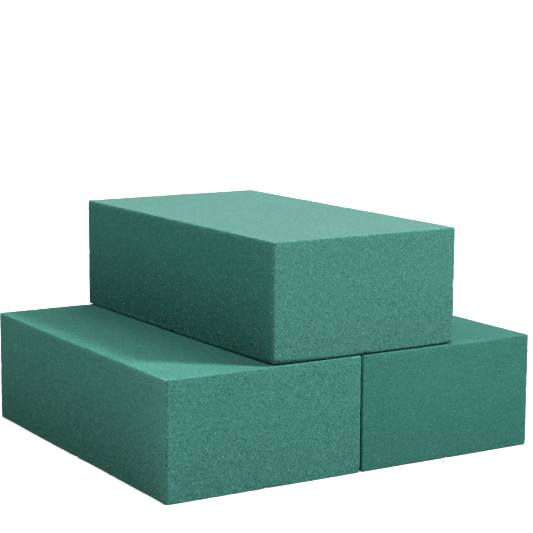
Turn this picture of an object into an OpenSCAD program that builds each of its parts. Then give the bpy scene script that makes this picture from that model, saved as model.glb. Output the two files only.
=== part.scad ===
// Three loose bricks of floral foam: two side by side, and a third lying across the joint
// between them. Millimetres, +Z up, +X along the short sides of the bricks, -Y the front.
// The origin is the middle of the stack's footprint, on the surface that it stands on.

/* [Bricks] */
// Length of each brick, front to back
brick_length = 230; // [150:1:300]
// Width of the lower left brick and of the top one
brick_width = 128.5; // [80:0.5:160]
// Width of the lower right brick
narrow_width = 124.5; // [80:0.5:160]
// Height of each brick
brick_height = 70; // [40:0.5:100]

/* [Edges] */
// Radius of the upright edges
upright_edge_r = 1.5; // [0.5:0.25:6]
// Radius of the edges round the top and bottom faces
rim_edge_r = 1; // [0.5:0.25:4]

/* [Stack] */
// Gap between the lower bricks at their front
front_gap = 0.8; // [0.8:0.1:5]
// Gap between the lower bricks at their back
back_gap = 0.1; // [0.1:0.1:0.8]
// Clearance under the top brick
rest_gap = 0.3; // [0.1:0.1:1]
// Distance from the left side of the stack to the top brick's front left corner
top_offset = 67.2; // [40:0.2:90]
// How far the top brick's front left corner overhangs the front of the lower bricks
top_overhang = 0.6; // [-20:0.2:20]
// Turn of the top brick about its front left corner, in degrees
top_turn = 0.78; // [0:0.02:5]

/* [Hidden] */
$fn = 48;
foam_green = "#4E8A7D";

// How far a rounded outline of w by l reaches to the front, the back and the right of its sharp
// front left corner, once it has turned about that corner
function turned_front(r, turn) = r * (cos(turn) + sin(turn) - 1);
function turned_back(w, l, r, turn) = r + (w - r) * sin(turn) + (l - r) * cos(turn);
function turned_right(w, r, turn) = r + (w - r) * cos(turn) - r * sin(turn);

// The lower right brick turns about its front left corner to close the gap towards the back
right_turn = asin((front_gap - back_gap) / brick_length);
right_corner_x = brick_width + front_gap;
right_back_y = turned_back(narrow_width, brick_length, upright_edge_r, right_turn);
top_front_y = turned_front(upright_edge_r, top_turn) - top_overhang;
top_back_y = turned_back(brick_width, brick_length, upright_edge_r, top_turn) - top_overhang;
stack_width = right_corner_x + turned_right(narrow_width, upright_edge_r, right_turn);
stack_front_y = min(0, top_front_y);
stack_back_y = max(brick_length, right_back_y, top_back_y);
lower_corner = [-stack_width / 2, -(stack_front_y + stack_back_y) / 2, 0];

// Rectangle of w by d with its corner at the origin and its own corners rounded
module rounded_outline(w, d, r) {
    translate([r, 0]) square([w - 2 * r, d]);
    translate([0, r]) square([w, d - 2 * r]);
    for (x = [r, w - r], y = [r, d - r])
        translate([x, y]) circle(r);
}

// One homogeneous block of foam with all twelve edges eased
module foam_brick(w, l, h) {
    intersection() {
        linear_extrude(h) rounded_outline(w, l, upright_edge_r);
        translate([0, l, 0]) rotate([90, 0, 0]) linear_extrude(l) rounded_outline(w, h, rim_edge_r);
        rotate([90, 0, 90]) linear_extrude(w) rounded_outline(l, h, rim_edge_r);
    }
}

module lower_left_brick() {
    color(foam_green)
        translate(lower_corner)
            foam_brick(brick_width, brick_length, brick_height);
}

module lower_right_brick() {
    color(foam_green)
        translate(lower_corner + [right_corner_x, 0, 0])
            rotate(right_turn)
                foam_brick(narrow_width, brick_length, brick_height);
}

module top_brick() {
    color(foam_green)
        translate(lower_corner + [top_offset, -top_overhang, brick_height + rest_gap])
            rotate(top_turn)
                foam_brick(brick_width, brick_length, brick_height);
}

lower_left_brick();
lower_right_brick();
top_brick();
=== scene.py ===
import math

import bpy
import numpy as np
from mathutils import Matrix, Vector


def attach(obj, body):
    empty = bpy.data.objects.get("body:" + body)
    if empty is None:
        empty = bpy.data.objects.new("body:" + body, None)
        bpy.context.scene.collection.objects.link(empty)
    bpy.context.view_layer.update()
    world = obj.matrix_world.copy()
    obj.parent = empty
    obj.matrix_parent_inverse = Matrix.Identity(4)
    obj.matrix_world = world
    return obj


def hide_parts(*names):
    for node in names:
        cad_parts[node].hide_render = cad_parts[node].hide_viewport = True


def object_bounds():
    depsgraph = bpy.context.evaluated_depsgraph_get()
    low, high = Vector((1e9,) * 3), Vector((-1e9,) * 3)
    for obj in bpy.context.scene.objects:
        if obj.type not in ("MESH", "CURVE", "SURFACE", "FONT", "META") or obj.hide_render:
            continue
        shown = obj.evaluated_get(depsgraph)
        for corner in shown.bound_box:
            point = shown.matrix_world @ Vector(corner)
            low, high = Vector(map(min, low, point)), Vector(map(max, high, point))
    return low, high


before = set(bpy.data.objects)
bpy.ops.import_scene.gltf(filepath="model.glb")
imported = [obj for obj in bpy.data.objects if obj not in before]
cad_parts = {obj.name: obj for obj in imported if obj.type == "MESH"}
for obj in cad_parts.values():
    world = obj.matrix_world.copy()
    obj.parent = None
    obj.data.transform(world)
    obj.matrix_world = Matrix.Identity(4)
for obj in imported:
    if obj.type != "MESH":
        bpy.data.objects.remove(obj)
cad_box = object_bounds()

# Three loose bricks of floral foam. Each CAD node is replaced by a worn, finely pitted mesh of the
# same size in the same place. Lengths are in metres and angles in degrees.

MM = 0.001

# --- Shape of a brick ---------------------------------------------------------------------------
FACE_STEP = 1.35 * MM        # mesh step in the middle of a face
EDGE_STEP = 0.45 * MM        # mesh step along the edges, where the foam is rounded and chipped
EDGE_ZONE = 8 * MM           # distance over which the step grows from one to the other
UPRIGHT_RADIUS = 1.3 * MM    # upright edges
RIM_RADIUS = 0.9 * MM        # edges round the top face
RIM_VARIATION = 0.3 * MM     # how much the rim's radius wanders along an edge
TOP_CORNER_WEAR = 0.4 * MM   # extra plan radius of the handled corners at the top
FOOT_CORNER_WEAR = 0.2 * MM  # the same at the foot
WEAR_HEIGHT = 6 * MM         # how far down an upright edge the extra radius reaches
FOOT_WEAR_REACH = 20 * MM    # how far from the front left corner its foot is worn
RUB_REACH_FRONT = 2 * MM     # how far from the front left edge the front is rubbed pale
RUB_REACH_SIDE = 30 * MM     # the same for the left side
CHIP_COUNT = 90              # small bites out of the edges
CHIP_RADII = (0.9 * MM, 2.3 * MM)
PIT_COUNT = 170              # larger open cells on the faces
PIT_RADII = (1.1 * MM, 1.9 * MM)
EDGE_REACH = 2.2 * MM        # how far from an edge the foam crumbles and collects dust

# --- Colours, linear, and grain -----------------------------------------------------------------
FOAM = (0.0793, 0.280, 0.226)
PLAIN_FOAM = (0.0740, 0.280, 0.226)
DEEP_FOAM = (0.0650, 0.280, 0.222)
PALE_DUST_AND_SHEEN = 0.53                  # grey dust and a painted grazing sheen on a top face
EDGE_DUST_AND_RIM_LIGHT = (0.11, 0.50, 0.38)    # on worn edges and in chips, and painted light on the rims of the long sides
RUB_DUST = (0.165, 0.47, 0.38)    # on the rubbed front left edge
PAINTED_GLINT = (0.45, 0.62, 0.56)      # painted glints: broken cells that catch the light
PAINTED_FOOT_SHADE = 0.87                 # painted shade: how light a brick is painted at its foot, rising to 1 higher up
SHADE_FOOT = -35 * MM             # height of the foot, measured from the brick's middle
SHADE_FULL = 10 * MM              # height from which it is fully light, measured the same way
PAINTED_SIDE_SHADE_HEIGHT = 35 * MM             # distance from the middle at which a long side's painted shade and light are full
CELL_SIZE = 0.55 * MM
FINE_SIZE = 0.5 * MM              # wavelength of the finest grain
CELL_GRAIN = 0.24                 # how much each cell's lightness varies, up and down
FINE_GRAIN = 0.29                 # the same for the finest grain
PORE_SHADE = 0.22                 # painted shade: how much darker the few open cells are
MOTTLE = 0.02                     # how much broad patches vary

# Each brick's body, random seed, shape and look.
# shape: foot_radius is the radius of the edges round the bottom face. edge_wear adds to the radius of
# the front left edge, foot_wear to the foot of that edge, and rub is how pale that edge is rubbed.
# look: foam is the foam's colour. end, side and top are how light the ends, the long sides (red, green
# and blue) and the top face are; they are partly the foam's colour and partly painted shade and light
# for how the lights fall on each face. painted_side_shade is painted shade and light: how much darker
# the long sides get from their middle to their foot, and how much lighter to their top. dust_and_sheen
# is how dusty the top face is, and also a painted grazing sheen on it, and grain how strong the grain
# is. These factors are tuned under the lights below, and hold some of the shading that a more even light
# would leave out. Evenly coloured foam has end, side and top 1, painted_side_shade 0 and
# PAINTED_FOOT_SHADE 1.
BRICKS = {
    "lower_left_brick": dict(
        body="lower_left", seed=11,
        shape=dict(foot_radius=0.8 * MM, edge_wear=0.9 * MM, foot_wear=0.0, rub=0.5),
        look=dict(foam=PLAIN_FOAM, end=0.975, side=(1.12, 1.12, 1.07), painted_side_shade=0.11, top=1.02,
                  dust_and_sheen=0.0, grain=1.2),
    ),
    "lower_right_brick": dict(
        body="lower_right", seed=23,
        shape=dict(foot_radius=0.8 * MM, edge_wear=-0.5 * MM, foot_wear=0.0, rub=0.0),
        look=dict(foam=DEEP_FOAM, end=0.83, side=(0.9, 0.9, 0.9), painted_side_shade=0.11, top=0.7,
                  dust_and_sheen=0.0, grain=0.7),
    ),
    "top_brick": dict(
        body="top", seed=37,
        shape=dict(foot_radius=1.5 * MM, edge_wear=0.4 * MM, foot_wear=2.9 * MM, rub=0.1),
        look=dict(foam=FOAM, end=1.02, side=(0.73, 0.85, 0.83), painted_side_shade=0.2, top=0.99,
                  dust_and_sheen=0.07, grain=1.1),
    ),
}


def smoothstep(x):
    """0 below 0, 1 above 1, and a smooth step between."""
    x = np.clip(x, 0.0, 1.0)
    return x * x * (3.0 - 2.0 * x)


def lattice_noise(points, wavelength, rng):
    """Smooth noise from -1 to 1: random values on a lattice, blended between its points."""
    grid = (points - points.min(0)) / wavelength
    cell = np.floor(grid).astype(int)
    blend = smoothstep(grid - cell)
    values = rng.uniform(-1.0, 1.0, cell.max(0) + 2)
    total = np.zeros(len(points))
    for dx in (0, 1):
        for dy in (0, 1):
            for dz in (0, 1):
                weight = np.ones(len(points))
                for axis, step in enumerate((dx, dy, dz)):
                    weight *= blend[:, axis] if step else 1.0 - blend[:, axis]
                total += weight * values[cell[:, 0] + dx, cell[:, 1] + dy, cell[:, 2] + dz]
    return total


def brick_place(node):
    """Half sizes of a CAD brick, and the matrix that puts a brick centred on the origin in its place."""
    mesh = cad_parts[node].data
    facing_x = Vector()
    for face in mesh.polygons:
        if face.normal.x > 0.99:
            facing_x += face.normal * face.area
    turn = Matrix.Rotation(math.atan2(facing_x.y, facing_x.x), 4, "Z")
    points = np.array([turn.inverted() @ v.co for v in mesh.vertices])
    low, high = points.min(0), points.max(0)
    return (high - low) / 2, turn @ Matrix.Translation(Vector((low + high) / 2))


def graded_line(half):
    """Positions from -half to half, close together at both ends."""
    fine = np.linspace(-half, half, 4001)
    inset = smoothstep((half - np.abs(fine)) / EDGE_ZONE)
    density = 1.0 / (EDGE_STEP + (FACE_STEP - EDGE_STEP) * inset)
    count = np.concatenate(([0.0], np.cumsum((density[1:] + density[:-1]) / 2 * np.diff(fine))))
    return np.interp(np.linspace(0, count[-1], round(count[-1]) + 1), count, fine)


def box_grid(half):
    """Vertices and quads of a closed box whose faces share graded grids."""
    lines = [graded_line(h) for h in half]
    shape = tuple(len(line) for line in lines)
    index = np.full(shape, -1)
    shell = np.zeros(shape, bool)
    for axis in range(3):
        ends = [slice(None)] * 3
        for end in (0, -1):
            ends[axis] = end
            shell[tuple(ends)] = True
    cells = np.argwhere(shell)
    index[shell] = np.arange(len(cells))
    points = np.stack([lines[axis][cells[:, axis]] for axis in range(3)], axis=1)
    quads = []
    for axis in range(3):
        for end in (0, -1):
            side = np.take(index, end, axis=axis)
            corners = [side[:-1, :-1], side[1:, :-1], side[1:, 1:], side[:-1, 1:]]
            if (end == 0) != (axis == 1):
                corners.reverse()
            quads.append(np.stack([c.ravel() for c in corners], axis=1))
    return points, np.concatenate(quads)


def round_max(a, b, radius):
    """The larger of two distances, with the edge where they meet rounded to a radius."""
    outside = np.hypot(np.maximum(a + radius, 0.0), np.maximum(b + radius, 0.0))
    return outside - radius + np.minimum(np.maximum(a, b) + radius, 0.0)


def brick_distance(points, half, rim_radius, edge_wear):
    """Distance outside the worn brick: upright edges first, then the rims of the top and foot."""
    over = np.abs(points) - half
    front_left = (points[:, 0] < 0) & (points[:, 1] < 0)
    to_top = smoothstep(1.0 - (half[2] - points[:, 2]) / WEAR_HEIGHT)
    to_foot = smoothstep(1.0 - (half[2] + points[:, 2]) / WEAR_HEIGHT)
    upright = UPRIGHT_RADIUS + TOP_CORNER_WEAR * to_top + FOOT_CORNER_WEAR * to_foot
    upright += edge_wear * front_left
    return round_max(round_max(over[:, 0], over[:, 1], upright), over[:, 2], rim_radius)


def rounded_points(points, half, rim_radius, edge_wear):
    """Moves each point of the sharp box along its own ray until it lies on the worn brick."""
    core = np.clip(points, -(half - EDGE_ZONE), half - EDGE_ZONE)
    ray = points - core
    reach = np.linalg.norm(ray, axis=1)
    ray /= reach[:, None]
    for _ in range(12):
        reach -= brick_distance(core + ray * reach[:, None], half, rim_radius, edge_wear)
    return core + ray * reach[:, None]


def edge_distance(points, half):
    """Distance from the nearest edge of the sharp box."""
    inset = np.sort(half - np.abs(points), axis=1)
    return np.hypot(inset[:, 0], inset[:, 1])


def edge_chips(points, half, rng):
    """Depth of small bites taken out of the edges."""
    depth = np.zeros(len(points))
    lengths = np.repeat(half, 4)
    for _ in range(CHIP_COUNT):
        edge = rng.choice(12, p=lengths / lengths.sum())
        along, signs = divmod(edge, 4)
        centre = half * np.insert([1 - 2 * (signs & 1), 1 - (signs & 2)], along, rng.uniform(-1, 1))
        radius = rng.uniform(*CHIP_RADII)
        bite = 1.0 - ((points - centre) ** 2).sum(1) / radius**2
        depth = np.maximum(depth, radius * rng.uniform(0.12, 0.3) * np.clip(bite, 0, 1) ** 1.5)
    return depth


def face_pits(points, half, rng):
    """Depth of larger open cells scattered over the faces."""
    depth = np.zeros(len(points))
    areas = np.array([half[1] * half[2], half[0] * half[2], half[0] * half[1]])
    for _ in range(PIT_COUNT):
        axis = rng.choice(3, p=areas / areas.sum())
        centre = half * rng.uniform(-0.96, 0.96, 3)
        centre[axis] = half[axis] * rng.choice([-1, 1])
        radius = rng.uniform(*PIT_RADII)
        pit = 1.0 - ((points - centre) ** 2).sum(1) / radius**2
        depth = np.maximum(depth, radius * rng.uniform(0.08, 0.2) * np.clip(pit, 0, 1))
    return depth


def vertex_normals(points, quads):
    """Unit normals of the grid's vertices."""
    first_diagonal = points[quads[:, 2]] - points[quads[:, 0]]
    second_diagonal = points[quads[:, 3]] - points[quads[:, 1]]
    face = np.cross(first_diagonal, second_diagonal)
    total = np.zeros_like(points)
    for corner in range(4):
        np.add.at(total, quads[:, corner], face)
    return total / np.linalg.norm(total, axis=1)[:, None]


def foam_brick(node, seed, foot_radius, edge_wear, foot_wear, rub):
    """The worn brick that stands for a CAD node."""
    rng = np.random.default_rng(seed)
    half, place = brick_place(node)
    sharp, quads = box_grid(half)
    from_corner = np.hypot(sharp[:, 0] + half[0], sharp[:, 1] + half[1])
    foot = foot_radius + foot_wear * np.exp(-from_corner / FOOT_WEAR_REACH)
    rim = np.where(sharp[:, 2] > 0, RIM_RADIUS, foot)
    rim += RIM_VARIATION * lattice_noise(sharp, 22 * MM, rng)
    points = rounded_points(sharp, half, rim, edge_wear)
    near_edge = np.exp(-((edge_distance(sharp, half) / EDGE_REACH) ** 2))

    sag = 0.07 * MM * (1 + lattice_noise(points, 70 * MM, rng))
    ripple = 0.03 * MM * (1 + lattice_noise(points, 11 * MM, rng))
    crumble = 0.12 * MM * near_edge * (1 + lattice_noise(points, 2.2 * MM, rng))
    grit = 0.02 * MM * rng.uniform(0, 1, len(points))
    chips = edge_chips(points, half, rng)
    pits = face_pits(points, half, rng)
    inward = sag + ripple + crumble + grit + chips + pits
    points = points - vertex_normals(points, quads) * inward[:, None]

    mesh = bpy.data.meshes.new(node.replace("_brick", "_foam"))
    mesh.from_pydata(points.tolist(), [], quads.tolist())
    rubbed = rub * np.exp(-(((sharp[:, 0] + half[0]) / RUB_REACH_FRONT) ** 2))
    rubbed *= np.exp(-(sharp[:, 1] + half[1]) / RUB_REACH_SIDE)
    facing = vertex_normals(points, quads)
    fields = {
        "wear": np.clip(near_edge + chips / (0.3 * MM), 0, 1),
        "rubbed": rubbed,
        "long_side": smoothstep((np.abs(facing[:, 0]) - 0.5) / 0.4),
        "top_face": smoothstep((facing[:, 2] - 0.5) / 0.4),
    }
    for name, values in fields.items():
        field = mesh.attributes.new(name, "FLOAT", "POINT")
        field.data.foreach_set("value", values.astype(np.float32))
    mesh.shade_smooth()
    brick = bpy.data.objects.new(mesh.name, mesh)
    brick.matrix_world = place
    bpy.context.scene.collection.objects.link(brick)
    return brick


# --- Material -----------------------------------------------------------------------------------
def node_maker(tree):
    """A function that adds a node with its settings and inputs in one call."""
    def make(kind, inputs=None, **settings):
        made = tree.nodes.new("ShaderNode" + kind)
        for key, value in settings.items():
            setattr(made, key, value)
        for key, value in (inputs or {}).items():
            if isinstance(value, bpy.types.NodeSocket):
                tree.links.new(value, made.inputs[key])
            else:
                made.inputs[key].default_value = value
        return made
    return make


def foam_material(name, seed, foam, end, side, painted_side_shade, top, dust_and_sheen, grain):
    """Foam whose colour, grain, painted glints, painted shade and relief follow from the brick's own
    coordinates.
    """
    material = bpy.data.materials.new(name)
    material.use_nodes = True
    tree = material.node_tree
    tree.nodes.clear()
    make = node_maker(tree)

    coords = make("TexCoord").outputs["Object"]
    offset = (seed * 0.37, seed * 0.11, seed * 0.23)
    place = make("VectorMath", {0: coords, 1: offset}, operation="ADD").outputs[0]

    def noise(wavelength, detail=2.0):
        settings = {"Vector": place, "Scale": 1 / wavelength, "Detail": detail, "Roughness": 0.5}
        return make("TexNoise", settings).outputs["Fac"]

    def ramp(value, low, high, to_low=0.0, to_high=1.0):
        settings = {"Value": value, "From Min": low, "From Max": high}
        settings.update({"To Min": to_low, "To Max": to_high})
        return make("MapRange", settings).outputs["Result"]

    def math_node(operation, a, b):
        return make("Math", {0: a, 1: b}, operation=operation).outputs[0]

    def field(field_name):
        settings = dict(attribute_name=field_name, attribute_type="GEOMETRY")
        return make("Attribute", **settings).outputs["Fac"]

    cells = make("TexVoronoi", {"Vector": place, "Scale": 1 / CELL_SIZE}, feature="F1")
    cell_value = make("SeparateColor", {"Color": cells.outputs["Color"]}).outputs[0]
    fine = noise(FINE_SIZE)
    cell_grain = ramp(cell_value, 0, 1, -CELL_GRAIN * grain, CELL_GRAIN * grain)
    fine_grain = ramp(fine, 0.25, 0.75, -FINE_GRAIN * grain, FINE_GRAIN * grain)
    # Painted shade: the few open cells are painted darker.
    painted_pore_shade = ramp(cell_value, 0.03, 0.0, 0.0, -PORE_SHADE)
    mottle = ramp(noise(6 * MM), 0.3, 0.7, -MOTTLE, MOTTLE)
    cloud = ramp(noise(45 * MM, 1.0), 0.3, 0.7, -MOTTLE, MOTTLE)
    height = make("SeparateXYZ", {"Vector": coords}).outputs["Z"]
    # Painted shade: each brick is painted darker towards its foot.
    value = ramp(height, SHADE_FOOT, SHADE_FULL, PAINTED_FOOT_SHADE, 1.0)
    # Painted shade and light: the long sides are painted darker below their middle and lighter above it.
    painted_side_shade_here = ramp(height, -PAINTED_SIDE_SHADE_HEIGHT, PAINTED_SIDE_SHADE_HEIGHT, -painted_side_shade, painted_side_shade)
    painted_side_shading = math_node("MULTIPLY", field("long_side"), painted_side_shade_here)
    for part in (painted_side_shading, cell_grain, fine_grain, painted_pore_shade, mottle, cloud):
        value = math_node("ADD", part, value)

    def blend(factor, a, b):
        settings = {"Factor": factor, "A": a, "B": b}
        return make("Mix", settings, data_type="RGBA").outputs["Result"]

    # The face colours below are partly the foam's own and partly painted shade and light for how the
    # lights fall on each face.
    end_colour_and_painted_light = (*(end * c for c in foam), 1)
    side_colour_and_painted_light = (*(s * c for s, c in zip(side, foam)), 1)
    # A top face's dust is partly real dust and partly a painted grazing sheen.
    top_colour_and_painted_light = (*(top * c + (PALE_DUST_AND_SHEEN - top * c) * dust_and_sheen for c in foam), 1)
    by_face_with_painted_light = blend(field("top_face"), blend(field("long_side"), end_colour_and_painted_light, side_colour_and_painted_light), top_colour_and_painted_light)
    worn = math_node("MULTIPLY", field("wear"), ramp(noise(2.5 * MM), 0.3, 0.7, 0.0, 0.16))
    # Dust on worn edges and chips; the stronger gain on the long sides also paints light onto their
    # rims.
    wear_and_rim_light_gain = ramp(field("long_side"), 0, 1, 0.5, 4.0)
    edged = blend(math_node("MULTIPLY", worn, wear_and_rim_light_gain), by_face_with_painted_light, (*EDGE_DUST_AND_RIM_LIGHT, 1))
    base = blend(field("rubbed"), edged, (*RUB_DUST, 1))
    grained = make("VectorMath", {0: base, "Scale": value}, operation="SCALE").outputs[0]
    # Painted glints: a few cells, more on the long sides, are painted pale as if they caught the light.
    painted_glint = ramp(cell_value, 0.975, 1.0, 0.0, 0.34 * grain)
    painted_glint_gain = ramp(field("long_side"), 0, 1, 1.0, 2.2)
    colour = blend(math_node("MULTIPLY", painted_glint, painted_glint_gain), grained, (*PAINTED_GLINT, 1))

    relief = math_node("ADD", cells.outputs["Distance"], fine)
    bump = make("Bump", {"Height": relief, "Strength": 0.5, "Distance": 0.15 * MM})
    roughness = ramp(fine, 0.3, 0.7, 0.86, 0.98)
    shader = make("BsdfPrincipled", {
        "Base Color": colour,
        "Roughness": roughness,
        "Normal": bump.outputs["Normal"],
        "Specular IOR Level": 0.1,
        "Sheen Weight": 0.3,
        "Sheen Roughness": 0.22,
    })
    make("OutputMaterial", {"Surface": shader.outputs["BSDF"]})
    return material


# --- Stage, camera and light --------------------------------------------------------------------
CAMERA_AZIMUTH = -31.569     # from the front, towards the left
CAMERA_ELEVATION = 8.981
CAMERA_ROLL = 0.326
CAMERA_DISTANCE = 1.0613
CAMERA_LENS = 113.09         # millimetres on a sensor 36 mm wide
AIM = Vector((0.0082, 0.0015, 0.0352))    # from the middle of the stack to what the camera aims at

FLOOR_RADIUS = 9.0
FLOOR_SIDES = 96
FLOOR_BOUNCE = 0.25    # how much of the light that reaches it the floor sends back to the bricks
AMBIENT = 0.01

LIGHTS = {
    # name: (azimuth from the front towards the right, elevation, distance, side of the square, watts)
    "key": (45, 41, 3.0, 0.45, 107),
    "left_high": (-80, 51, 1.5, 1.0, 10.9),
    "right_low": (90, 15, 1.8, 1.0, 9.0),
    "back_right_high": (135, 65, 1.5, 0.8, 9.5),
}


def direction(azimuth, elevation):
    """Unit vector from the stack towards that azimuth and elevation; azimuth 0 is the front, -Y."""
    a, e = math.radians(azimuth), math.radians(elevation)
    return Vector((math.sin(a) * math.cos(e), -math.cos(a) * math.cos(e), math.sin(e)))


def look_from(location, towards, roll=0.0):
    """Matrix of a camera or light that faces a point, rolled about its own line of sight."""
    forward = (towards - location).normalized()
    right = forward.cross(Vector((0, 0, 1))).normalized()
    up = right.cross(forward)
    r = math.radians(roll)
    side = right * math.cos(r) + up * math.sin(r)
    top = up * math.cos(r) - right * math.sin(r)
    matrix = Matrix((side, top, -forward)).transposed().to_4x4()
    matrix.translation = location
    return matrix


def add_camera(middle):
    data = bpy.data.cameras.new("camera")
    data.lens = CAMERA_LENS
    data.sensor_width = 36
    camera = bpy.data.objects.new("camera", data)
    bpy.context.scene.collection.objects.link(camera)
    aim = middle + AIM
    location = aim + direction(CAMERA_AZIMUTH, CAMERA_ELEVATION) * CAMERA_DISTANCE
    camera.matrix_world = look_from(location, aim, CAMERA_ROLL)
    bpy.context.scene.camera = camera


def add_light(name, middle, azimuth, elevation, distance, side, watts):
    data = bpy.data.lights.new(name, "AREA")
    data.size = side
    data.energy = watts
    light = bpy.data.objects.new(name, data)
    light.visible_camera = False
    bpy.context.scene.collection.objects.link(light)
    light.matrix_world = look_from(middle + direction(azimuth, elevation) * distance, middle)


def add_world():
    """A sky that the camera sees as white and that lights the scene only faintly."""
    world = bpy.data.worlds.new("studio")
    bpy.context.scene.world = world
    world.use_nodes = True
    tree = world.node_tree
    tree.nodes.clear()
    make = node_maker(tree)
    ambient = make("Background", {"Color": (1, 1, 1, 1), "Strength": AMBIENT})
    seen = make("Background", {"Color": (1, 1, 1, 1), "Strength": 1.0})
    is_camera = make("LightPath").outputs["Is Camera Ray"]
    mixed = make("MixShader", {0: is_camera, 1: ambient.outputs[0], 2: seen.outputs[0]})
    make("OutputWorld", {"Surface": mixed.outputs[0]})


def add_floor():
    """A round white floor that the camera sees brighter than it is for the light that it bounces."""
    mesh = bpy.data.meshes.new("floor")
    angles = np.linspace(0, 2 * np.pi, FLOOR_SIDES, False)
    ring = [(FLOOR_RADIUS * math.cos(t), FLOOR_RADIUS * math.sin(t), 0) for t in angles]
    mesh.from_pydata(ring, [], [list(range(FLOOR_SIDES))])
    floor = bpy.data.objects.new("floor", mesh)
    floor.location.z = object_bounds()[0].z
    bpy.context.scene.collection.objects.link(floor)
    floor.visible_glossy = False
    material = bpy.data.materials.new("floor")
    material.use_nodes = True
    tree = material.node_tree
    tree.nodes.clear()
    make = node_maker(tree)
    coords = make("TexCoord").outputs["Object"]
    distance = make("VectorMath", {0: coords}, operation="LENGTH").outputs["Value"]
    settings = {"Value": distance, "From Min": 0.25, "From Max": 0.9, "To Min": 0.65, "To Max": 1.0}
    glow = make("MapRange", settings)
    lit = make("BsdfDiffuse", {"Color": (0.9, 0.9, 0.9, 1)})
    glowing = make("Emission", {"Strength": glow.outputs["Result"]})
    seen = make("AddShader", {0: lit.outputs[0], 1: glowing.outputs[0]})
    bounce = make("BsdfDiffuse", {"Color": (FLOOR_BOUNCE, FLOOR_BOUNCE, FLOOR_BOUNCE, 1)})
    is_camera = make("LightPath").outputs["Is Camera Ray"]
    mixed = make("MixShader", {0: is_camera, 1: bounce.outputs[0], 2: seen.outputs[0]})
    make("OutputMaterial", {"Surface": mixed.outputs[0]})
    mesh.materials.append(material)


bpy.context.scene.view_settings.view_transform = "Standard"
stack_middle = sum(cad_box, Vector()) / 2
add_camera(stack_middle)
for light_name, settings in LIGHTS.items():
    add_light(light_name, stack_middle, *settings)
add_world()
add_floor()

for node_name, brick in BRICKS.items():
    piece = foam_brick(node_name, brick["seed"], **brick["shape"])
    piece.data.materials.append(foam_material(piece.name, brick["seed"], **brick["look"]))
    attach(piece, brick["body"])
    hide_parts(node_name)
